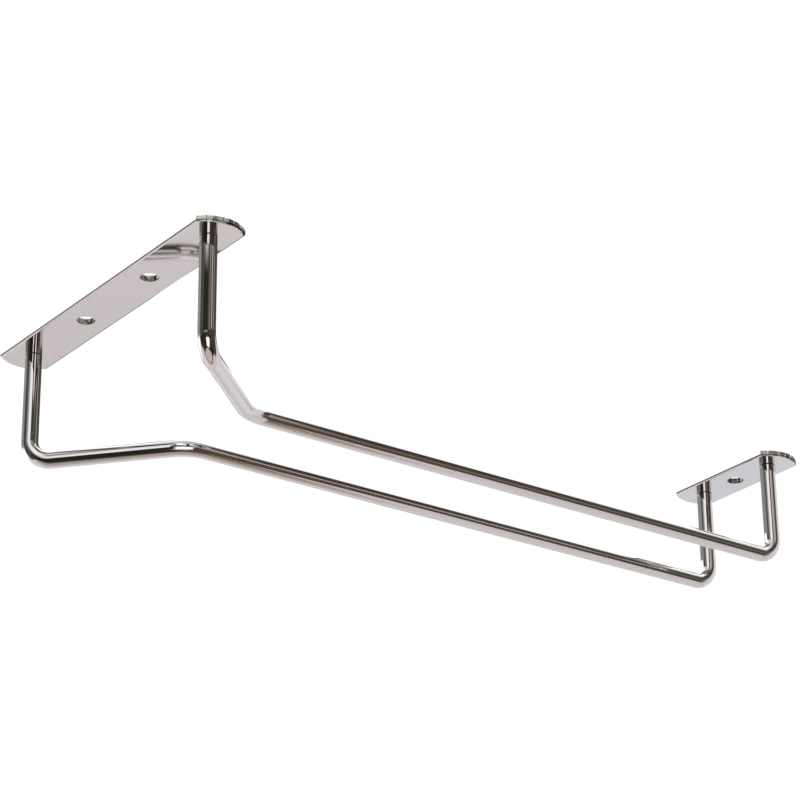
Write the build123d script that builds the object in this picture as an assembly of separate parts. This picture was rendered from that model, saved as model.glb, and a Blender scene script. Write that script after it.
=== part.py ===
"""Hanging wine glass rack with one channel: two screw plates joined by two bent round rods.

The origin is the centre of the front plate's top face, where the rack meets the shelf above it.
+X points right as seen from the mouth, +Y from the mouth to the closed back end, and +Z up.
Both plates' top faces lie on z = 0, so the whole rack hangs below that plane.
"""
import os
from math import atan2, hypot, radians, tan

from build123d import *

# The whole rack, in millimetres
overall_length = 254.0  # front edge of the front plate to back edge of the back plate
overall_height = 38.1  # shelf to the lowest point of the mouth

# The flat strip that both plates are cut from
plate_width = 15.9
plate_thickness = 1.9
plate_end_rise = 3.5  # how far the arc-shaped ends stand out past the corners
lower_edge_round = 0.7
upper_edge_round = 0.3

# The plates and their screw holes
front_plate_length = 114.3
back_plate_length = 48.0
screw_hole_diameter = 5.2
screw_hole_edge_round = 0.2
front_screw_spacing = 34.5

# The rods
rod_diameter = 5.0
channel_gap = 25.4  # clear width for the glass stems
front_leg_spacing = 95.0  # between the front legs' centre lines
mouth_depth = 35.0  # front legs to the start of the straight rails
mouth_dip = 2.2  # how far the lead-ins' front ends hang below the rails
leg_bend_radius = 6.25  # on the rod's centre line
mouth_bend_radius = 14.0  # on the rod's centre line

# Places that follow from those sizes
rod_radius = rod_diameter / 2
half_thickness = plate_thickness / 2
rail_x = (channel_gap + rod_diameter) / 2
leg_x = front_leg_spacing / 2
back_y = overall_length - plate_width

# The lead-ins climb from the mouth to the rails, so the bend under a front leg bottoms out
# a little above the corner where the leg and the lead-in would meet
lead_in_run = hypot(leg_x - rail_x, mouth_depth)
lead_in_angle = atan2(mouth_dip, lead_in_run)
bend_bottom_lift = leg_bend_radius * (tan(radians(45) + lead_in_angle / 2) - 1)
mouth_z = rod_radius - overall_height - bend_bottom_lift
rail_z = mouth_z + mouth_dip


def plate_outline(length):
    """Face of a plate seen from above: straight long sides and an arc at each end."""
    tip_x = length / 2
    corner_x = tip_x - plate_end_rise
    corner_y = plate_width / 2
    right_end = ThreePointArc((corner_x, -corner_y), (tip_x, 0), (corner_x, corner_y))
    left_end = ThreePointArc((-corner_x, corner_y), (-tip_x, 0), (-corner_x, -corner_y))
    back_side = Line((corner_x, corner_y), (-corner_x, corner_y))
    front_side = Line((-corner_x, -corner_y), (corner_x, -corner_y))
    return make_face([right_end, back_side, left_end, front_side])


def screw_plate(length, hole_places):
    """A plate with rounded edges and plain screw holes, its top face on z = 0 and its middle on x = y = 0."""
    plate = extrude(plate_outline(length), amount=-plate_thickness)
    plate = fillet(plate.edges().group_by(Axis.Z)[0], lower_edge_round)
    plate = fillet(plate.edges().group_by(Axis.Z)[-1], upper_edge_round)
    for x in hole_places:
        plate -= Pos(x, 0, -half_thickness) * Cylinder(screw_hole_diameter / 2, 2 * plate_thickness)
    hole_rims = plate.edges().filter_by(GeomType.CIRCLE).filter_by(
        lambda edge: abs(edge.radius - screw_hole_diameter / 2) < screw_hole_edge_round)
    return fillet(hole_rims, screw_hole_edge_round)


def rod_path(side):
    """Centre line of one rod, from its front leg's top to its back leg's top; side is 1 right, -1 left."""
    corners = [
        (side * leg_x, 0, -plate_thickness),
        (side * leg_x, 0, mouth_z),
        (side * rail_x, mouth_depth, rail_z),
        (side * rail_x, back_y, rail_z),
        (side * rail_x, back_y, -plate_thickness),
    ]
    return FilletPolyline(*corners, radius=[leg_bend_radius, mouth_bend_radius, leg_bend_radius])


def bent_rod(side):
    """One rod, bent from a single length, with both ends flat against the plates' lower faces."""
    path = rod_path(side)
    section = Plane(origin=path @ 0, z_dir=path % 0) * Circle(rod_radius)
    return sweep(section, path=path)


front_plate = screw_plate(front_plate_length, [-front_screw_spacing / 2, front_screw_spacing / 2])
back_plate = Pos(0, back_y, 0) * screw_plate(back_plate_length, [0])

parts = {
    "front_plate": front_plate,
    "back_plate": back_plate,
    "left_rod": bent_rod(-1),
    "right_rod": bent_rod(1),
}

os.makedirs("parts", exist_ok=True)
for name, shape in parts.items():
    export_step(shape, f"parts/{name}.step")
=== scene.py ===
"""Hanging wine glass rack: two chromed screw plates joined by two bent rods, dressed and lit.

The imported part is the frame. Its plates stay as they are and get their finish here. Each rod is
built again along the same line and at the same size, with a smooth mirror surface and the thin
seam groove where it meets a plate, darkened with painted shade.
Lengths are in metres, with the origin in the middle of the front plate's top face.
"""

from __future__ import annotations

import logging
import math
from dataclasses import dataclass, field
from enum import Enum
from typing import Any, Iterable, Sequence

import bmesh
import bpy
from mathutils import Matrix, Vector

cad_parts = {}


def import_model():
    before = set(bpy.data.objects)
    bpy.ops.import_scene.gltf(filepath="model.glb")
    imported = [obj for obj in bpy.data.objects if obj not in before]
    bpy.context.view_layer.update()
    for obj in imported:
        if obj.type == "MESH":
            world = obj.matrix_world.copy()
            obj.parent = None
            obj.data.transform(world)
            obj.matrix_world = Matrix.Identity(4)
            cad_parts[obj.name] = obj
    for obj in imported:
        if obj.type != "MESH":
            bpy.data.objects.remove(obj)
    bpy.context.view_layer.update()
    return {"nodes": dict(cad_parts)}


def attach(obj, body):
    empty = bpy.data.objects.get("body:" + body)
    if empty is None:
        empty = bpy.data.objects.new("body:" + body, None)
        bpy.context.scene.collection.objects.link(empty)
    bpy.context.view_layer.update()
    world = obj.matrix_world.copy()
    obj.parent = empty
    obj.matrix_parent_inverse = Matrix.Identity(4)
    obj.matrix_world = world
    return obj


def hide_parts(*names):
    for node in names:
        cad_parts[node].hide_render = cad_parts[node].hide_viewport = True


LOG = logging.getLogger("glass_rack")
MM = 0.001
WIRE_ATTRIBUTE = "drawn_wire"
CARD_MAP = "card"
MIX_AMOUNT, MIX_FIRST, MIX_SECOND, MIX_RESULT = 0, 6, 7, 2  # a colour Mix node's sockets

Colour = tuple[float, float, float]
Place = tuple[float, float, float]
Span = tuple[float, float]
Ring = list[bmesh.types.BMEdge]


class RodSide(Enum):
    """Which side of the glass channel a rod runs on; the value is the sign of its x."""

    LEFT = -1.0
    RIGHT = 1.0


class CardTone(Enum):
    """What a studio card does.

    A dark one hides the white room from the chrome, a light one glows on both sides and lights the
    floor too, and an inner light glows for the chrome only, on the side towards its middle.
    """

    DARK = "dark"
    LIGHT = "light"
    INNER_LIGHT = "inner_light"


class CardPaint(Enum):
    """The colours that the studio cards show."""

    WHITE = (1.0, 0.99, 0.985)
    WARM = (1.0, 0.93, 0.87)
    PALE = (1.0, 0.975, 0.97)
    COOL = (0.92, 0.965, 1.01)
    GREY = (0.90, 0.99, 0.97)
    SAND = (0.66, 0.58, 0.52)
    BROWN = (0.130, 0.100, 0.066)
    DUSK = (0.100, 0.096, 0.072)
    SOOT = (0.030, 0.028, 0.020)


@dataclass(frozen=True)
class RackSizes:
    """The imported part's sizes that the rods, the finishes and the small cards are laid out by."""

    length: float = 254.0 * MM  # front edge of the front plate to back edge of the back plate
    height: float = 38.1 * MM  # shelf to the lowest point of the mouth
    plate_width: float = 15.9 * MM
    plate_thickness: float = 1.9 * MM
    screw_spacing: float = 34.5 * MM
    hole_radius: float = 2.6 * MM
    rod_radius: float = 2.5 * MM
    channel: float = 25.4 * MM  # clear width for the glass stems
    leg_spacing: float = 95.0 * MM  # between the front legs' centre lines
    mouth_depth: float = 35.0 * MM  # front legs to the start of the straight rails
    mouth_dip: float = 2.2 * MM  # how far the lead-ins' front ends hang below the rails
    leg_bend: float = 6.25 * MM  # on the rod's centre line
    mouth_bend: float = 14.0 * MM  # on the rod's centre line

    @property
    def leg_x(self) -> float:
        """How far a front leg is from the middle."""
        return self.leg_spacing / 2

    @property
    def rail_x(self) -> float:
        """How far a rail is from the middle."""
        return self.channel / 2 + self.rod_radius

    @property
    def back_y(self) -> float:
        """Where the back legs and the back plate's hole are."""
        return self.length - self.plate_width

    @property
    def mouth_z(self) -> float:
        """The height at which the centre lines of a front leg and a lead-in would meet.

        Returns:
            That height, which leaves the bend's lowest point at the rack's full height.
        """
        run = math.hypot(self.leg_x - self.rail_x, self.mouth_depth)
        climb = math.atan2(self.mouth_dip, run)
        lift = self.leg_bend * (math.tan(math.radians(45.0) + climb / 2) - 1.0)
        return self.rod_radius - self.height - lift

    @property
    def rail_z(self) -> float:
        """The height of the rails' centre lines."""
        return self.mouth_z + self.mouth_dip


# Shader helpers


@dataclass(frozen=True)
class Grain:
    """How fine a noise is."""

    waves: tuple[float, float, float]  # to a metre along each axis; few waves draw it out
    layers: float
    roughness: float  # how strong the finer layers are


class Shade:
    """A number socket of a node tree that can be used in a Python expression."""

    def __init__(self, bench: "NodeBench", socket: bpy.types.NodeSocket) -> None:
        """Keeps the output socket and the bench that adds the Math nodes."""
        self.bench = bench
        self.socket = socket

    def _math(self, operation: str, *values: Any) -> "Shade":
        """Adds one Math node with the given inputs, numbers or shades, and returns its result."""
        inputs = dict(enumerate(values))
        return self.bench.node("ShaderNodeMath", {"operation": operation}, inputs).value(0)

    def __add__(self, other: Any) -> "Shade":
        """Adds two numbers."""
        return self._math("ADD", self, other)

    __radd__ = __add__

    def __sub__(self, other: Any) -> "Shade":
        """Takes a number from this one."""
        return self._math("SUBTRACT", self, other)

    def __rsub__(self, other: Any) -> "Shade":
        """Takes this number from another."""
        return self._math("SUBTRACT", other, self)

    def __mul__(self, other: Any) -> "Shade":
        """Multiplies two numbers."""
        return self._math("MULTIPLY", self, other)

    __rmul__ = __mul__

    def __abs__(self) -> "Shade":
        """Drops the number's sign."""
        return self._math("ABSOLUTE", self)

    def lowest(self, other: Any) -> "Shade":
        """The smaller of two numbers."""
        return self._math("MINIMUM", self, other)

    def between(self, first: float, second: float) -> "Shade":
        """Goes from one number to another as this one goes from 0 to 1."""
        return self * (second - first) + first

    def ramp(self, start: float, end: float) -> "Shade":
        """Goes smoothly from 0 to 1 between two values, or from 1 to 0 where start is the larger.

        Args:
            start: The value that gives 0.
            end: The value that gives 1.

        Returns:
            The smooth ramp.
        """
        low, high = min(start, end), max(start, end)
        ends = (0.0, 1.0) if start < end else (1.0, 0.0)
        settings = {"interpolation_type": "SMOOTHSTEP", "clamp": True}
        inputs = {"Value": self, "From Min": low, "From Max": high, "To Min": ends[0], "To Max": ends[1]}
        return self.bench.node("ShaderNodeMapRange", settings, inputs).value("Result")


class Made:
    """A node that was just made, with short ways to reach its outputs."""

    def __init__(self, bench: "NodeBench", node: bpy.types.Node) -> None:
        """Keeps the node and the bench that made it."""
        self.bench = bench
        self.node = node

    def out(self, key: int | str) -> bpy.types.NodeSocket:
        """An output socket, by its place or name."""
        return self.node.outputs[key]

    def value(self, key: int | str) -> Shade:
        """An output socket as a number to calculate with."""
        return Shade(self.bench, self.node.outputs[key])


class NodeBench:
    """One material's or world's node tree, emptied and ready to be filled."""

    def __init__(self, owner: bpy.types.Material | bpy.types.World) -> None:
        """Clears the owner's node tree.

        Args:
            owner: The material or world whose nodes are made.
        """
        owner.use_nodes = True
        self.tree = owner.node_tree
        self.tree.nodes.clear()

    def node(self, kind: str, settings: dict[str, Any] | None = None,
             inputs: dict[int | str, Any] | None = None) -> Made:
        """Makes one node.

        Args:
            kind: The node's type.
            settings: Its own settings, set before the sockets.
            inputs: A value, shade or socket for each named or numbered input.

        Returns:
            The node that was made.
        """
        made = self.tree.nodes.new(kind)
        for name, setting in (settings or {}).items():
            setattr(made, name, setting)
        for key, given in (inputs or {}).items():
            if isinstance(given, Shade):
                given = given.socket
            if isinstance(given, bpy.types.NodeSocket):
                self.tree.links.new(given, made.inputs[key])
            else:
                made.inputs[key].default_value = given
        return Made(self, made)

    def blend(self, amount: Shade | float, first: Any, second: Any) -> bpy.types.NodeSocket:
        """Mixes two colours.

        Args:
            amount: 0 gives the first colour and 1 the second.
            first: A colour or a colour socket.
            second: A colour or a colour socket.

        Returns:
            The mixed colour's socket.
        """
        settings = {"data_type": "RGBA", "blend_type": "MIX"}
        inputs = {MIX_AMOUNT: amount, MIX_FIRST: self._rgba(first), MIX_SECOND: self._rgba(second)}
        return self.node("ShaderNodeMix", settings, inputs).out(MIX_RESULT)

    @staticmethod
    def _rgba(colour: Any) -> Any:
        """Adds the alpha that a colour socket wants; a socket is passed through."""
        return (*colour, 1.0) if isinstance(colour, tuple) and len(colour) == 3 else colour

    def noise(self, vector: bpy.types.NodeSocket, grain: Grain) -> Shade:
        """A smooth noise between 0 and 1.

        Args:
            vector: The coordinate that it is read at.
            grain: How fine the noise is.

        Returns:
            The noise's value.
        """
        scaled = self.node("ShaderNodeVectorMath", {"operation": "MULTIPLY"}, {0: vector, 1: grain.waves})
        inputs = {"Vector": scaled.out(0), "Scale": 1.0, "Detail": grain.layers,
                  "Roughness": grain.roughness}
        return self.node("ShaderNodeTexNoise", None, inputs).value(0)


# Finishes


@dataclass(frozen=True)
class BrightChrome:
    """What both chrome finishes share: the colour of the metal and how evenly it is polished."""

    name: str
    metal: Colour = (0.600, 0.565, 0.570)
    stained_metal: Colour = (0.30, 0.275, 0.26)
    polish: float = 0.035
    smear: float = 0.02  # how much duller the cloudy places are

    def close(self, bench: NodeBench, colour: bpy.types.NodeSocket, roughness: Shade,
              height: Shade, relief: float) -> None:
        """Joins colour, roughness and relief to the metal shader and the material's output.

        Args:
            bench: The material's node bench.
            colour: The metal's colour.
            roughness: How rough the polish is, from 0 to 1.
            height: The relief's height, from 0 to 1.
            relief: The height in metres that 1 stands for.
        """
        bump = bench.node("ShaderNodeBump", None,
                          {"Strength": 1.0, "Distance": relief, "Height": height})
        shader = bench.node("ShaderNodeBsdfPrincipled", None, {
            "Base Color": colour, "Metallic": 1.0, "Roughness": roughness, "Normal": bump.out(0)})
        bench.node("ShaderNodeOutputMaterial", None, {"Surface": shader.out(0)})


@dataclass(frozen=True)
class RodChrome(BrightChrome):
    """Chrome over drawn wire: fine lines along the rod, a few dull specks, and painted shade in the seam
    at each end.
    """

    name: str = "rod_chrome"
    line_depth: float = 2.0e-8
    lines: Grain = Grain((900.0, 900.0, 14.0), 3.0, 0.60)
    cloud: Grain = Grain((90.0, 90.0, 90.0), 3.0, 0.55)
    specks: Grain = Grain((1900.0, 1900.0, 1900.0), 1.0, 0.50)
    speck_limits: Span = (0.73, 0.80)
    speck_stain: float = 0.25
    speck_roughness: float = 0.10
    # painted shade in the seam's groove where the rod meets a plate
    seam_shade_colour: Colour = (0.24, 0.23, 0.22)
    seam_roughness: float = 0.25
    seam_limits: Span = (1.05, 0.90)  # where its painted shade and dullness start and are full, as shares of the seam's end

    def material(self, rod_length: float, seam_end: float) -> bpy.types.Material:
        """Makes the material.

        Args:
            rod_length: The rod's length along its centre line, in metres.
            seam_end: How far from each of the rod's ends the seam stops.

        Returns:
            The finished material.
        """
        made = bpy.data.materials.new(self.name)
        bench = NodeBench(made)
        wire = bench.node("ShaderNodeAttribute", {"attribute_name": WIRE_ATTRIBUTE}).out("Vector")
        along = bench.node("ShaderNodeSeparateXYZ", None, {0: wire}).value(2)
        from_end = along.lowest(rod_length - along)
        seam = from_end.ramp(*(seam_end * share for share in self.seam_limits))
        speck = bench.noise(wire, self.specks).ramp(*self.speck_limits)
        colour = bench.blend(speck * self.speck_stain, self.metal, self.stained_metal)
        # paints shade into the seam's groove
        colour = bench.blend(seam, colour, self.seam_shade_colour)
        roughness = (self.polish + bench.noise(wire, self.cloud) * self.smear
                     + speck * self.speck_roughness + seam * self.seam_roughness)
        self.close(bench, colour, roughness, bench.noise(wire, self.lines), self.line_depth)
        return made


@dataclass(frozen=True)
class PlateChrome(BrightChrome):
    """Chrome over sheared strip.

    Its flat faces are bright, its cut ends are pale with dark marks, a painted dark reflection runs
    along its lower edge, and its screw holes are stained and have dark burrs.
    """

    name: str = "plate_chrome"
    streak_depth: float = 6.0e-5
    streaks: Grain = Grain((620.0, 620.0, 160.0), 3.0, 0.65)
    rolling: Grain = Grain((25.0, 900.0, 25.0), 3.0, 0.60)
    rolling_share: float = 0.004  # the rolling lines' depth as a share of the streaks'
    cloud: Grain = Grain((70.0, 70.0, 70.0), 3.0, 0.55)
    cut_metal: Colour = (0.93, 0.95, 0.86)
    cut_facing: Span = (0.40, 0.62)  # how far sideways a cut end's faces point
    cut_roughness: float = 0.38
    back_part: Span = (-2.0 * MM, 1.0 * MM)  # from the plate's middle line, where its back part begins
    scuffed: Colour = (0.085, 0.085, 0.070)
    mark_limits: Span = (0.53, 0.59)  # how strong a streak has to be to leave a mark on a cut end
    mark_cover: Span = (0.70, 0.94)  # of a mark at the plate's front and back
    more_behind: float = 0.06  # how much weaker a streak may be at the back
    worn: float = 0.0  # how much weaker it may be all over
    # dark colour of the hole burrs, and of the painted dark reflection along the lower edge
    burr_and_edge_reflection_dark: Colour = (0.030, 0.030, 0.026)
    edge_reflection_start: Span = (0.06, 0.16)  # how far down the lower edge's faces point
    edge_reflection_end: Span = (0.74, 0.62)
    edge_reflection_cover: Span = (0.90, 0.20)  # of the painted dark reflection elsewhere, and at the front of a cut end
    stain_limits: Span = (0.44, 0.58)
    stain_cover: Span = (0.60, 1.0)
    bore_limits: Span = (1.06, 1.01)  # where a hole's wall starts, as shares of its radius
    bore_roughness: float = 0.12
    burrs: Grain = Grain((1000.0, 1000.0, 1000.0), 2.0, 0.50)
    burr_limits: Span = (0.50, 0.60)
    burr_cover: float = 0.85

    def material(self, part: str, holes: Sequence[Span], hole_radius: float) -> bpy.types.Material:
        """Makes the material of one plate.

        Args:
            part: The plate's name, which ends the material's name.
            holes: x and y of each screw hole's centre, on the plate's middle line.
            hole_radius: The holes' radius.

        Returns:
            The finished material.
        """
        made = bpy.data.materials.new(f"{self.name}_{part}")
        bench = NodeBench(made)
        place = bench.node("ShaderNodeTexCoord").out("Object")
        normal = bench.node("ShaderNodeNewGeometry").out("Normal")
        facing = bench.node("ShaderNodeSeparateXYZ", None, {0: normal})
        cut = abs(facing.value(0)).ramp(*self.cut_facing)
        down = facing.value(2) * -1.0
        edge_reflection_mask = down.ramp(*self.edge_reflection_start) * down.ramp(*self.edge_reflection_end)
        middle_line = holes[0][1]
        depth = bench.node("ShaderNodeSeparateXYZ", None, {0: place}).value(1) - middle_line
        behind = depth.ramp(*self.back_part)
        bore = self._bore(bench, place, holes, hole_radius)
        streaks = bench.noise(place, self.streaks)
        marks = (streaks + behind * self.more_behind).ramp(*(at - self.worn for at in self.mark_limits))
        stain = streaks.ramp(*self.stain_limits).between(*self.stain_cover)
        burrs = bench.noise(place, self.burrs).ramp(*self.burr_limits)
        edge_reflection_strength = (cut * (1.0 - behind)).between(*self.edge_reflection_cover)

        colour = bench.blend(cut, self.metal, self.cut_metal)
        colour = bench.blend(cut * marks * behind.between(*self.mark_cover), colour, self.scuffed)
        colour = bench.blend(bore * stain, colour, self.stained_metal)
        colour = bench.blend(bore * burrs * self.burr_cover, colour, self.burr_and_edge_reflection_dark)
        # painted dark reflection along the plate's lower edge
        colour = bench.blend(edge_reflection_mask * edge_reflection_strength, colour, self.burr_and_edge_reflection_dark)
        roughness = (self.polish + bench.noise(place, self.cloud) * self.smear
                     + cut * self.cut_roughness + bore * self.bore_roughness)
        height = bench.noise(place, self.rolling) * self.rolling_share + cut * streaks
        self.close(bench, colour, roughness, height, self.streak_depth)
        return made

    def _bore(self, bench: NodeBench, place: bpy.types.NodeSocket, holes: Sequence[Span],
              hole_radius: float) -> Shade:
        """Marks the walls of the screw holes.

        Args:
            bench: The material's node bench.
            place: The coordinate on the plate.
            holes: x and y of each hole's centre, in metres.
            hole_radius: The holes' radius.

        Returns:
            1 inside each hole's radius and 0 outside it.
        """
        marked: Shade | float = 0.0
        for x, y in holes:
            from_axis = bench.node("ShaderNodeVectorMath", {"operation": "MULTIPLY_ADD"}, {
                0: place, 1: (1.0, 1.0, 0.0), 2: (-x, -y, 0.0)}).out(0)
            gap = bench.node("ShaderNodeVectorMath", {"operation": "LENGTH"}, {
                0: from_axis}).value("Value")
            marked = gap.ramp(*(hole_radius * share for share in self.bore_limits)) + marked
        return marked


# The rack


@dataclass
class BentRod:
    """One chromed rod: front leg, lead-in, straight rail and back leg in one piece."""

    side: RodSide
    finish: RodChrome
    sizes: RackSizes
    sunk: float = 0.3 * MM  # how far the weld sinks into the plate
    groove: float = 0.955  # the seam's radius as a share of the rod's
    groove_lip: float = 0.07 * MM  # along the rod, on either side of the groove's floor
    groove_floor: float = 0.08 * MM
    around: int = 72
    steps_a_radian: int = 18
    fewest_steps: int = 6
    straight_step: float = 7.0 * MM
    guard: float = 0.35 * MM  # a short step before and after each bend keeps the shading true
    rings: int = field(default=0, init=False)
    travelled: float = field(default=0.0, init=False)

    @property
    def name(self) -> str:
        """The piece's name."""
        return f"{self.side.name.lower()}_bright_rod"

    @property
    def seam_end(self) -> float:
        """How far from the rod's sunk end its groove stops."""
        return self.sunk + 2 * self.groove_lip + self.groove_floor

    def corners(self) -> list[Vector]:
        """Lays out the rod's centre line.

        Returns:
            Its corners, from the front plate to the back plate.
        """
        sizes = self.sizes
        leg, rail = sizes.leg_x * self.side.value, sizes.rail_x * self.side.value
        top = self.sunk - sizes.plate_thickness
        return [Vector((leg, 0.0, top)), Vector((leg, 0.0, sizes.mouth_z)),
                Vector((rail, sizes.mouth_depth, sizes.rail_z)),
                Vector((rail, sizes.back_y, sizes.rail_z)), Vector((rail, sizes.back_y, top))]

    def build(self) -> bpy.types.Object:
        """Makes the rod and dresses it.

        Returns:
            The finished piece, riding on the frame in place of its packed rod.
        """
        bm = bmesh.new()
        self._sweep(bm)
        mesh = bpy.data.meshes.new(self.name)
        bm.to_mesh(mesh)
        bm.free()
        rod = bpy.data.objects.new(self.name, mesh)
        bpy.context.scene.collection.objects.link(rod)
        mesh.materials.append(self.finish.material(self.travelled, self.seam_end))
        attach(rod, "root")
        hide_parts(f"{self.side.name.lower()}_rod")
        return rod

    def _sweep(self, bm: bmesh.types.BMesh) -> None:
        """Takes a circle along the centre line, round every bend, and closes both ends.

        Args:
            bm: The empty mesh that the rod is made in.
        """
        points = self.corners()
        first = self._circle(bm, points[0])
        down = (points[1] - points[0]).normalized()
        ring, here = self._seam(bm, first, points[0], down, leaving=True)
        bends = (self.sizes.leg_bend, self.sizes.mouth_bend, self.sizes.leg_bend)
        for before, corner, after, bend in zip(points, points[1:], points[2:], bends):
            way, onward = (corner - before).normalized(), (after - corner).normalized()
            turn = way.angle(onward)
            reach = bend * math.tan(turn / 2)
            ring = self._straight(bm, ring, here, corner - way * reach)
            inward = (onward - way * onward.dot(way)).normalized()
            centre = corner - way * reach + inward * bend
            ring = self._bend(bm, ring, centre, way.cross(onward).normalized(), turn, bend)
            here = corner + onward * reach
        up = (points[-1] - points[-2]).normalized()
        seam_start = points[-1] - up * (self.seam_end + self.guard)
        ring = self._straight(bm, ring, here, seam_start)
        ring, _ = self._seam(bm, ring, seam_start, up, leaving=False)
        for end in (first, ring):
            bmesh.ops.edgeloop_fill(bm, edges=end)
        bmesh.ops.recalc_face_normals(bm, faces=bm.faces)
        for face in bm.faces:
            face.smooth = len(face.verts) == 4  # the two caps stay flat

    def _circle(self, bm: bmesh.types.BMesh, start: Vector) -> Ring:
        """Makes the rod's first ring and writes each point's place on the wire's section.

        Args:
            bm: The empty mesh that the rod is made in.
            start: The ring's middle.

        Returns:
            The ring's edges.
        """
        wire = bm.verts.layers.float_vector.new(WIRE_ATTRIBUTE)
        circle = bmesh.ops.create_circle(bm, cap_ends=False, segments=self.around,
                                         radius=self.sizes.rod_radius)
        for vert in circle["verts"]:
            vert[wire] = Vector((vert.co.x, vert.co.y, 0.0))
        bmesh.ops.translate(bm, verts=circle["verts"], vec=start)
        return list({edge for vert in circle["verts"] for edge in vert.link_edges})

    def _seam(self, bm: bmesh.types.BMesh, ring: Ring, here: Vector, way: Vector,
              leaving: bool) -> tuple[Ring, Vector]:
        """Grows the welded end with its narrow groove.

        Args:
            bm: The rod's mesh.
            ring: The edges of its last ring.
            here: The middle of that ring.
            way: The direction of growth.
            leaving: True where the rod leaves a plate, False where it arrives at one.

        Returns:
            The new last ring and its middle.
        """
        before, after = (self.sunk, self.guard) if leaving else (self.guard, self.sunk)
        moves = ((before, 1.0), (self.groove_lip, self.groove), (self.groove_floor, 1.0),
                 (self.groove_lip, 1.0 / self.groove), (after, 1.0))
        for length, share in moves:
            ring = self._grow(bm, ring, way * length)
            here = here + way * length
            if share != 1.0:
                self._resize(bm, ring, here, share)
        return ring, here

    @staticmethod
    def _resize(bm: bmesh.types.BMesh, ring: Ring, middle: Vector, share: float) -> None:
        """Makes a ring narrower or wider and keeps its edges crisp.

        Args:
            bm: The rod's mesh.
            ring: The ring's edges.
            middle: The ring's middle.
            share: The new radius as a share of the old one.
        """
        verts = list({vert for edge in ring for vert in edge.verts})
        bmesh.ops.scale(bm, vec=(share, share, share), space=Matrix.Translation(-middle), verts=verts)
        for edge in ring:
            edge.smooth = False

    def _grow(self, bm: bmesh.types.BMesh, ring: Ring, move: Vector) -> Ring:
        """Extrudes the last ring along a straight line.

        Args:
            bm: The rod's mesh.
            ring: The edges of its last ring.
            move: How far and which way it goes.

        Returns:
            The edges of the new ring.
        """
        grown = bmesh.ops.extrude_edge_only(bm, edges=ring)["geom"]
        verts = [item for item in grown if isinstance(item, bmesh.types.BMVert)]
        bmesh.ops.translate(bm, verts=verts, vec=move)
        return self._mark(bm, verts, move.length)

    def _mark(self, bm: bmesh.types.BMesh, verts: Iterable[bmesh.types.BMVert],
              length: float) -> Ring:
        """Writes how far along the wire a new ring is.

        Args:
            bm: The rod's mesh.
            verts: The new ring's vertices.
            length: How far it is from the ring before.

        Returns:
            The edges that join those vertices.
        """
        wire = bm.verts.layers.float_vector[WIRE_ATTRIBUTE]
        self.travelled += length
        self.rings += 1
        new = set(verts)
        for vert in new:
            vert[wire] = Vector((vert[wire].x, vert[wire].y, self.travelled))
        return list({edge for vert in new for edge in vert.link_edges
                     if edge.verts[0] in new and edge.verts[1] in new})

    def _straight(self, bm: bmesh.types.BMesh, ring: Ring, start: Vector, end: Vector) -> Ring:
        """Grows a straight run with a short guard step at each end.

        Args:
            bm: The rod's mesh.
            ring: The edges of its last ring.
            start: Where the run starts.
            end: Where it ends.

        Returns:
            The edges of the run's last ring.
        """
        way = (end - start).normalized()
        middle = (end - start).length - 2 * self.guard
        count = max(1, math.ceil(middle / self.straight_step))
        for length in (self.guard, *([middle / count] * count), self.guard):
            ring = self._grow(bm, ring, way * length)
        return ring

    def _bend(self, bm: bmesh.types.BMesh, ring: Ring, centre: Vector, axis: Vector, turn: float,
              bend: float) -> Ring:
        """Spins the last ring round a bend.

        Args:
            bm: The rod's mesh.
            ring: The edges of its last ring.
            centre: The bend's centre.
            axis: The direction it turns about.
            turn: How far it turns, in radians.
            bend: The bend's radius on the rod's centre line.

        Returns:
            The edges of the bend's last ring.
        """
        steps = max(self.fewest_steps, round(turn * self.steps_a_radian))
        for _ in range(steps):
            verts = list({vert for edge in ring for vert in edge.verts})
            spun = bmesh.ops.spin(bm, geom=verts + ring, cent=centre, axis=axis, dvec=(0.0, 0.0, 0.0),
                                  angle=turn / steps, steps=1, use_merge=False, use_duplicate=False)
            new = [item for item in spun["geom_last"] if isinstance(item, bmesh.types.BMVert)]
            ring = self._mark(bm, new, bend * turn / steps)
        return ring


@dataclass
class ScrewPlate:
    """One of the two flat plates with its screw holes, shown as it was packed."""

    part: str
    finish: PlateChrome
    holes: tuple[Span, ...]  # x and y of each hole's centre
    hole_radius: float

    def dress(self, nodes: dict[str, bpy.types.Object]) -> bpy.types.Object:
        """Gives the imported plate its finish.

        Args:
            nodes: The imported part's pieces by name.

        Returns:
            The dressed plate.
        """
        plate = nodes[self.part]
        chrome = self.finish.material(self.part, self.holes, self.hole_radius)
        if not plate.material_slots:
            plate.data.materials.append(chrome)
        for slot in plate.material_slots:
            slot.material = chrome
        return plate


@dataclass
class GlassRack:
    """The whole rack: two plates and two rods."""

    nodes: dict[str, bpy.types.Object]
    sizes: RackSizes
    front_plate_finish: PlateChrome = PlateChrome()
    back_plate_finish: PlateChrome = PlateChrome(worn=0.13)
    rod_finish: RodChrome = RodChrome()

    def build(self) -> None:
        """Dresses the plates and builds the rods."""
        half, radius = self.sizes.screw_spacing / 2, self.sizes.hole_radius
        plates = (ScrewPlate("front_plate", self.front_plate_finish, ((-half, 0.0), (half, 0.0)), radius),
                  ScrewPlate("back_plate", self.back_plate_finish, ((0.0, self.sizes.back_y),), radius))
        for plate in plates:
            LOG.info("dressed %s", plate.dress(self.nodes).name)
        for side in RodSide:
            maker = BentRod(side, self.rod_finish, self.sizes)
            rod = maker.build()
            LOG.info("built %s: %d rings, %.1f mm long", rod.name, maker.rings, maker.travelled / MM)


# The studio


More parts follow.
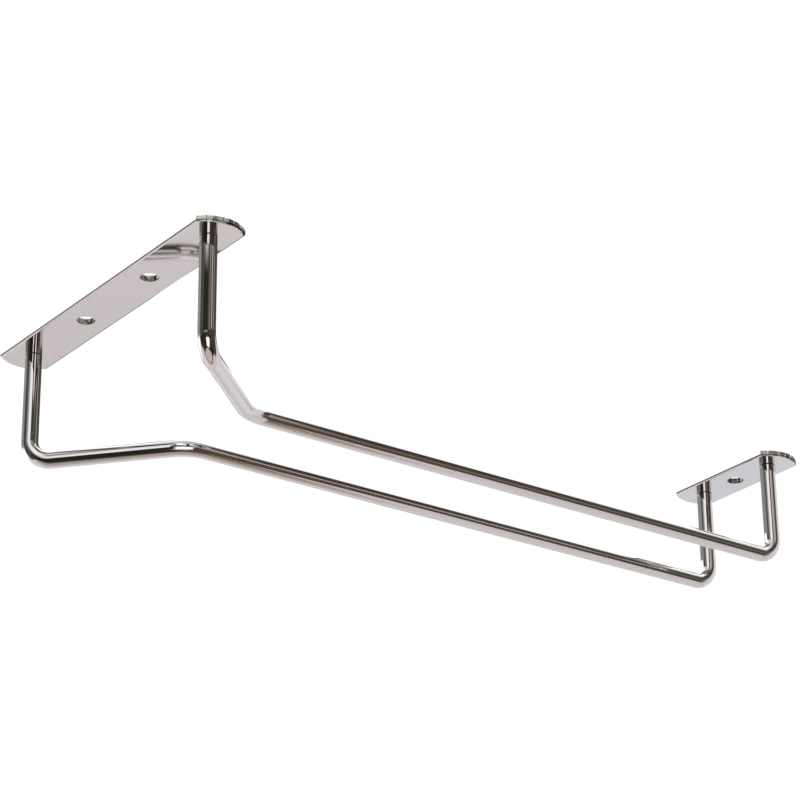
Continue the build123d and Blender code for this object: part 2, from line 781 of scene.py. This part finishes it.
@dataclass(frozen=True)
class StudioCard:
    """A card that the camera doesn't see, as in a product studio; it fades out towards its edges."""

    name: str
    tone: CardTone
    paint: CardPaint
    strength: float
    fades: tuple[float, float, float, float]  # shares of the sides: low and high across, low and high up
    squares: tuple[int, int] = (24, 16)  # across and up

    def place(self, across: float, up: float) -> Vector:
        """Where a point of the card is, from 0 to 1 over its width and its height."""
        raise NotImplementedError

    def build(self) -> bpy.types.Object:
        """Makes the card from a unit grid, whose own coordinates are kept for the fades.

        Returns:
            The card, hidden from the camera.
        """
        bm = bmesh.new()
        bmesh.ops.create_grid(bm, x_segments=self.squares[0], y_segments=self.squares[1], size=0.5)
        bmesh.ops.translate(bm, verts=bm.verts, vec=(0.5, 0.5, 0.0))
        shares = bm.loops.layers.uv.new(CARD_MAP)
        for face in bm.faces:
            for loop in face.loops:
                loop[shares].uv = loop.vert.co.xy
        for vert in bm.verts:
            vert.co = self.place(vert.co.x, vert.co.y)
        mesh = bpy.data.meshes.new(self.name)
        bm.to_mesh(mesh)
        bm.free()
        card = bpy.data.objects.new(self.name, mesh)
        bpy.context.scene.collection.objects.link(card)
        mesh.materials.append(self._material())
        card.visible_camera = False
        card.visible_shadow = False
        card.visible_diffuse = self.tone is CardTone.LIGHT
        return card

    def _material(self) -> bpy.types.Material:
        """The card's glow, clear where the card fades out.

        Returns:
            The finished material.
        """
        made = bpy.data.materials.new(self.name)
        bench = NodeBench(made)
        spot = bench.node("ShaderNodeSeparateXYZ", None, {
            0: bench.node("ShaderNodeUVMap", {"uv_map": CARD_MAP}).out(0)})
        mask: Shade | float = 1.0
        for axis, (low, high) in enumerate((self.fades[:2], self.fades[2:])):
            if low > 0:
                mask = mask * spot.value(axis).ramp(0.0, low)
            if high > 0:
                mask = mask * spot.value(axis).ramp(1.0, 1.0 - high)
        if self.tone is CardTone.INNER_LIGHT:
            mask = mask * bench.node("ShaderNodeNewGeometry").value("Backfacing")
        clear = bench.node("ShaderNodeBsdfTransparent").out(0)
        glow = bench.node("ShaderNodeEmission", None, {
            "Color": (*self.paint.value, 1.0), "Strength": self.strength}).out(0)
        mixed = bench.node("ShaderNodeMixShader", None, {0: mask, 1: clear, 2: glow}).out(0)
        bench.node("ShaderNodeOutputMaterial", None, {"Surface": mixed})
        return made


@dataclass(frozen=True, kw_only=True)
class DomeCard(StudioCard):
    """A card curved round a middle and given by the directions that it covers, in degrees."""

    azimuth: Span  # from +X towards +Y
    elevation: Span
    distance: float
    middle: Place = (0.0, 0.10, -0.02)

    def place(self, across: float, up: float) -> Vector:
        """Where a point of the card is, by its share of the two spans of directions.

        Args:
            across: 0 to 1 over the azimuth's span.
            up: 0 to 1 over the elevation's span.

        Returns:
            The point, in metres.
        """
        turn = math.radians(self.azimuth[0] + (self.azimuth[1] - self.azimuth[0]) * across)
        rise = math.radians(self.elevation[0] + (self.elevation[1] - self.elevation[0]) * up)
        flat = math.cos(rise)
        way = Vector((flat * math.cos(turn), flat * math.sin(turn), math.sin(rise)))
        return Vector(self.middle) + way * self.distance


@dataclass(frozen=True, kw_only=True)
class FlatCard(StudioCard):
    """A flat card, given by one corner and its two sides, in metres."""

    corner: Place
    side: Place  # from the corner across the card
    rise: Place  # from the corner up it

    def place(self, across: float, up: float) -> Vector:
        """Where a point of the card is, by its share of the two sides."""
        return Vector(self.corner) + Vector(self.side) * across + Vector(self.rise) * up


@dataclass
class Studio:
    """The white room: plain pale floor, even light all round, and the cards that the chrome mirrors."""

    sizes: RackSizes
    viewer: Place  # where the camera stands
    floor_height: float = -1.15
    floor_radius: float = 14.0
    floor_sides: int = 96
    floor_colour: Colour = (0.695, 0.675, 0.675)
    floor_roughness: float = 0.9
    floor_gloss: float = 0.1
    room_colour: Colour = (1.0, 0.995, 0.99)
    room_strength: float = 1.06
    edge_gap: float = 2.8 * MM  # from a leg's centre to the edge card beside it
    edge_behind: float = 3.9 * MM  # how far an edge card reaches past the leg's centre
    edge_top: float = -2.3 * MM

    def build(self) -> None:
        """Makes the floor, the room's light and the cards."""
        LOG.info("laid %s", self._floor().name)
        self._room()
        groups = (self._backdrops, self._room_parts, self._side_of_room, self._floor_shadows_and_cool_patch,
                  self._leg_cards, self._mouth_lights, self._bend_cards, self._edge_cards)
        for cards in groups:
            for card in cards():
                LOG.info("studio card %s", card.build().name)

    def _backdrops(self) -> list[StudioCard]:
        """The bright backdrop and ceiling on the far side of the rack.

        Returns:
            The cards.
        """
        light, white = CardTone.LIGHT, CardPaint.WHITE
        return [
            DomeCard("bright_backdrop", light, white, 1.9, (0.10, 0.06, 0.10, 0.15),
                     azimuth=(78, 200), elevation=(20, 88), distance=2.6),
            DomeCard("side_backdrop", light, white, 1.9, (0.15, 0.12, 0.16, 0.08),
                     azimuth=(152, 246), elevation=(-24, 89), distance=2.55),
            DomeCard("bright_ceiling", light, white, 1.8, (0.30, 0.20, 0.25, 0.20),
                     azimuth=(46, 100), elevation=(34, 84), distance=2.5),
        ]

    def _room_parts(self) -> list[StudioCard]:
        """The dark front of the room with its soft lights, and the room's plainer walls.

        Returns:
            The cards.
        """
        dark, light = CardTone.DARK, CardTone.LIGHT
        white, grey, pale = CardPaint.WHITE, CardPaint.GREY, CardPaint.PALE
        return [
            DomeCard("front_of_room", dark, CardPaint.DUSK, 1.0, (0.10, 0.07, 0.20, 0.12),
                     azimuth=(-139, 60), elevation=(-62, 51), distance=2.4),
            DomeCard("grey_ceiling", dark, grey, 0.86, (0.30, 0.15, 0.20, 0.20),
                     azimuth=(-96, 30), elevation=(44, 84), distance=2.3),
            DomeCard("left_wall", dark, grey, 0.46, (0.40, 0.30, 0.25, 0.25),
                     azimuth=(-92, -52), elevation=(6, 58), distance=2.28),
            DomeCard("high_softbox", light, white, 1.50, (0.30, 0.20, 0.15, 0.30),
                     azimuth=(-64, -25), elevation=(26, 60), distance=2.2),
            DomeCard("low_softbox", light, white, 1.40, (0.30, 0.16, 0.12, 0.20),
                     azimuth=(-69, -25), elevation=(1, 34), distance=2.08),
            DomeCard("thin_tube", light, white, 1.2, (0.35, 0.35, 0.20, 0.20),
                     azimuth=(-12, 3), elevation=(8, 40), distance=2.1),
            DomeCard("right_wall", dark, grey, 0.30, (0.20, 0.20, 0.25, 0.30),
                     azimuth=(11, 42), elevation=(6, 56), distance=2.1),
            DomeCard("dark_doorway", dark, CardPaint.SOOT, 1.0, (0.20, 0.12, 0.22, 0.08),
                     azimuth=(-96, -44), elevation=(-72, 0), distance=2.1),
            DomeCard("low_light", light, white, 2.2, (0.12, 0.12, 0.15, 0.15),
                     azimuth=(-50, -20), elevation=(-56, -16), distance=2.05),
            DomeCard("pale_corner", dark, pale, 1.04, (0.15, 0.15, 0.12, 0.20),
                     azimuth=(124, 186), elevation=(-17, 33), distance=2.5),
            DomeCard("pale_wall", dark, pale, 1.04, (0.20, 0.14, 0.16, 0.18),
                     azimuth=(60, 134), elevation=(-34, 34), distance=2.55),
        ]

    def _side_of_room(self) -> list[StudioCard]:
        """The brown side of the room with its low window, to the right of the rack.

        Returns:
            The cards.
        """
        dark, light, warm = CardTone.DARK, CardTone.LIGHT, CardPaint.WARM
        return [
            FlatCard("side_of_room", dark, CardPaint.BROWN, 1.0, (0.06, 0.13, 0.0, 0.16),
                     corner=(0.64, 0.16, -1.45), side=(0.0, 0.54, 0.25), rise=(0.0, 0.0, 2.0)),
            FlatCard("top_of_side", dark, CardPaint.DUSK, 0.62, (0.20, 0.12, 0.25, 0.40),
                     corner=(0.635, 0.42, 0.08), side=(0.0, 0.44, 0.32), rise=(0.0, 0.0, 0.56)),
            FlatCard("window_strip", light, warm, 0.58, (0.20, 0.30, 0.15, 0.25),
                     corner=(0.62, 0.18, -0.10), side=(0.0, 0.29, 0.0), rise=(0.0, 0.0, 0.60)),
            FlatCard("window_sill", light, warm, 0.46, (0.10, 0.45, 0.35, 0.35),
                     corner=(0.61, 0.34, -0.125), side=(0.0, 0.62, 0.06), rise=(0.0, 0.0, 0.09)),
        ]

    def _floor_shadows_and_cool_patch(self) -> list[StudioCard]:
        """Painted shadow on the floor in sandy, dark and darkest cards, and a cool patch of the floor.

        Returns:
            The cards.
        """
        dark = CardTone.DARK
        return [
            # dark sheets that paint the floor's shadow, seen only in the chrome
            FlatCard("sandy_floor_shadow", dark, CardPaint.SAND, 1.0, (0.30, 0.0, 0.10, 0.06),
                     corner=(-0.85, -1.6, -1.13), side=(1.9, 0.0, 0.0), rise=(0.0, 2.50, 0.0)),
            FlatCard("dark_floor_shadow", dark, CardPaint.BROWN, 1.0, (0.26, 0.0, 0.10, 0.04),
                     corner=(-0.05, -2.8, -1.12), side=(2.9, 0.0, 0.0), rise=(0.0, 3.70, 0.0)),
            FlatCard("darkest_floor_shadow", dark, CardPaint.SOOT, 1.0, (0.30, 0.20, 0.20, 0.30),
                     corner=(-0.25, -1.9, -1.11), side=(2.6, 0.0, 0.0), rise=(0.0, 1.95, 0.0)),
            FlatCard("cool_floor", dark, CardPaint.COOL, 1.0, (0.30, 0.20, 0.12, 0.20),
                     corner=(-4.6, 1.70, -1.10), side=(4.0, 0.0, 0.0), rise=(0.0, 3.6, 0.0)),
        ]

    def _leg_cards(self) -> list[StudioCard]:
        """Dark flags with a paler slit round the right front leg, and a light for the bend below it.

        Returns:
            The cards.
        """
        dark, soot, near = CardTone.DARK, CardPaint.SOOT, 60.0 * MM
        leg = (self.sizes.leg_x, 0.0, -20.0 * MM)
        bend = (self.sizes.leg_x + 1.5 * MM, 0.0, -34.5 * MM)
        return [
            DomeCard("upper_flag", dark, soot, 1.2, (0.10, 0.10, 0.06, 0.30),
                     azimuth=(-88, 6), elevation=(-8.5, 46), distance=near, middle=leg),
            DomeCard("lower_flag", dark, soot, 1.2, (0.10, 0.08, 0.10, 0.06),
                     azimuth=(-128, 72), elevation=(-66, -14.5), distance=near, middle=leg),
            DomeCard("flag_slit", dark, CardPaint.DUSK, 1.8, (0.40, 0.40, 0.10, 0.40),
                     azimuth=(-24, 2), elevation=(-6, 44), distance=58.0 * MM, middle=leg),
            DomeCard("bend_light", CardTone.LIGHT, CardPaint.WHITE, 2.2, (0.24, 0.24, 0.20, 0.20),
                     azimuth=(-50, 4), elevation=(-56, -11), distance=45.0 * MM, middle=bend),
        ]

    def _mouth_lights(self) -> list[StudioCard]:
        """Three small lights close round the left rod's bend at the mouth.

        Returns:
            The cards.
        """
        inner, white, near = CardTone.INNER_LIGHT, CardPaint.WHITE, 12.0 * MM
        bend = (-self.sizes.rail_x, self.sizes.mouth_depth - 1.5 * MM, -34.5 * MM)
        return [
            DomeCard("mouth_light", inner, white, 1.8, (0.12, 0.12, 0.14, 0.14),
                     azimuth=(-60, 8), elevation=(-34, 3), distance=near, middle=bend),
            DomeCard("upper_mouth_light", inner, white, 1.8, (0.14, 0.14, 0.20, 0.20),
                     azimuth=(-57, -17), elevation=(19, 42), distance=near, middle=bend),
            DomeCard("small_mouth_light", inner, white, 1.6, (0.20, 0.20, 0.20, 0.20),
                     azimuth=(-11, 6), elevation=(19, 42), distance=near, middle=bend),
        ]

    def _bend_cards(self) -> list[StudioCard]:
        """A sandy patch with a brown rim under the right front bend, and a brown card beside it.

        Returns:
            The cards.
        """
        dark = CardTone.DARK
        return [
            FlatCard("bend_rim", dark, CardPaint.BROWN, 0.6, (0.16, 0.16, 0.16, 0.16),
                     corner=(0.012, -0.036, -0.081), side=(0.074, 0.0, 0.0), rise=(0.0, 0.072, 0.0)),
            FlatCard("bend_sand", dark, CardPaint.SAND, 1.25, (0.14, 0.14, 0.14, 0.14),
                     corner=(0.020, -0.028, -0.079), side=(0.058, 0.0, 0.0), rise=(0.0, 0.056, 0.0)),
            FlatCard("bend_shade", dark, CardPaint.BROWN, 0.7, (0.12, 0.15, 0.12, 0.15),
                     corner=(0.0876, 0.0104, -0.054), side=(-0.0351, 0.0294, 0.0),
                     rise=(0.0, 0.0, 0.038)),
        ]

    def _edge_cards(self) -> list[StudioCard]:
        """Narrow cards beside all legs, and wide ones behind the front legs, that darken their outlines.

        Returns:
            The cards.
        """
        dark, dusk = CardTone.DARK, CardPaint.DUSK
        leg, rail, back = self.sizes.leg_x, self.sizes.rail_x, self.sizes.back_y
        front_legs = (("right_front", leg), ("left_front", -leg))
        back_legs = (("right_back", rail), ("left_back", -rail))
        front_foot, front_reach = -32.5 * MM, 1.9 * MM
        back_foot, back_reach = -26.0 * MM, 3.4 * MM
        return [
            *(self._edge_card(f"{name}_outer_edge", (x, 0.0, front_foot), front_reach)
              for name, x in front_legs),
            *(self._edge_card(f"{name}_outer_edge", (x, back, back_foot), back_reach)
              for name, x in back_legs),
            *(FlatCard(f"{name}_inner_edge", dark, dusk, 1.0, (0.10, 0.08, 0.10, 0.10),
                       corner=(x + 26.5 * MM, 34.0 * MM, -22.5 * MM),
                       side=(-83.5 * MM, 0.0, 0.0), rise=(0.0, 0.0, 45.0 * MM))
              for name, x in front_legs),
        ]

    def _edge_card(self, name: str, foot: Place, reach: float) -> FlatCard:
        """A narrow card just left of a leg, in line with the view, that darkens the leg's outline.

        Args:
            name: The card's name.
            foot: The point on the leg's centre line level with the card's lower side.
            reach: How far the card stands out from the leg's centre towards the viewer.

        Returns:
            The card.
        """
        away = Vector(foot) - Vector(self.viewer)
        away.z = 0.0
        away.normalize()
        left = Vector((-away.y, away.x, 0.0))
        return FlatCard(name, CardTone.DARK, CardPaint.GREY, 0.40, (0.12, 0.12, 0.04, 0.04),
                        corner=tuple(Vector(foot) + left * self.edge_gap - away * reach),
                        side=tuple(away * (reach + self.edge_behind)),
                        rise=(0.0, 0.0, self.edge_top - foot[2]))

    def _floor(self) -> bpy.types.Object:
        """Makes the floor far below the rack.

        Returns:
            The floor.
        """
        bm = bmesh.new()
        bmesh.ops.create_circle(bm, cap_ends=True, segments=self.floor_sides, radius=self.floor_radius)
        bmesh.ops.translate(bm, verts=bm.verts, vec=(0.0, 0.0, self.floor_height))
        mesh = bpy.data.meshes.new("floor")
        bm.to_mesh(mesh)
        bm.free()
        floor = bpy.data.objects.new("floor", mesh)
        bpy.context.scene.collection.objects.link(floor)
        paint = bpy.data.materials.new("floor_paint")
        bench = NodeBench(paint)
        shader = bench.node("ShaderNodeBsdfPrincipled", None, {
            "Base Color": (*self.floor_colour, 1.0), "Roughness": self.floor_roughness,
            "Specular IOR Level": self.floor_gloss})
        bench.node("ShaderNodeOutputMaterial", None, {"Surface": shader.out(0)})
        mesh.materials.append(paint)
        return floor

    def _room(self) -> None:
        """Lights the white room evenly and shows colours as they are."""
        scene = bpy.context.scene
        world = bpy.data.worlds.new("white_room")
        scene.world = world
        bench = NodeBench(world)
        light = bench.node("ShaderNodeBackground", None, {
            "Color": (*self.room_colour, 1.0), "Strength": self.room_strength})
        bench.node("ShaderNodeOutputWorld", None, {"Surface": light.out(0)})
        scene.view_settings.view_transform = "Standard"
        scene.view_settings.look = "None"


@dataclass
class PhotographCamera:
    """The camera at the photograph's place, low at the right of the mouth and looking up."""

    place: Place = (0.62103, -0.36489, -0.34871)
    turn: float = 53.187  # degrees from +Y towards -X
    rise: float = 23.725  # degrees above the horizon
    roll: float = 0.656
    lens: float = 125.9  # millimetres, as the sensor
    sensor: float = 36.0
    clip: Span = (0.01, 60.0)

    def build(self) -> bpy.types.Object:
        """Makes the camera and gives it to the scene.

        Returns:
            The camera.
        """
        data = bpy.data.cameras.new("photograph_camera")
        data.lens, data.sensor_width = self.lens, self.sensor
        data.clip_start, data.clip_end = self.clip
        camera = bpy.data.objects.new("photograph_camera", data)
        bpy.context.scene.collection.objects.link(camera)
        camera.matrix_world = (
            Matrix.Translation(self.place)
            @ Matrix.Rotation(math.radians(self.turn), 4, "Z")
            @ Matrix.Rotation(math.radians(90.0 + self.rise), 4, "X")
            @ Matrix.Rotation(math.radians(-self.roll), 4, "Z"))
        bpy.context.scene.camera = camera
        return camera


def main() -> None:
    """Builds the rack, the studio and the camera in order."""
    logging.basicConfig(level=logging.INFO, format="%(name)s: %(message)s")
    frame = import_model()
    sizes, camera = RackSizes(), PhotographCamera()
    GlassRack(frame["nodes"], sizes).build()
    Studio(sizes, camera.place).build()
    LOG.info("placed %s", camera.build().name)


if __name__ == "__main__":
    main()
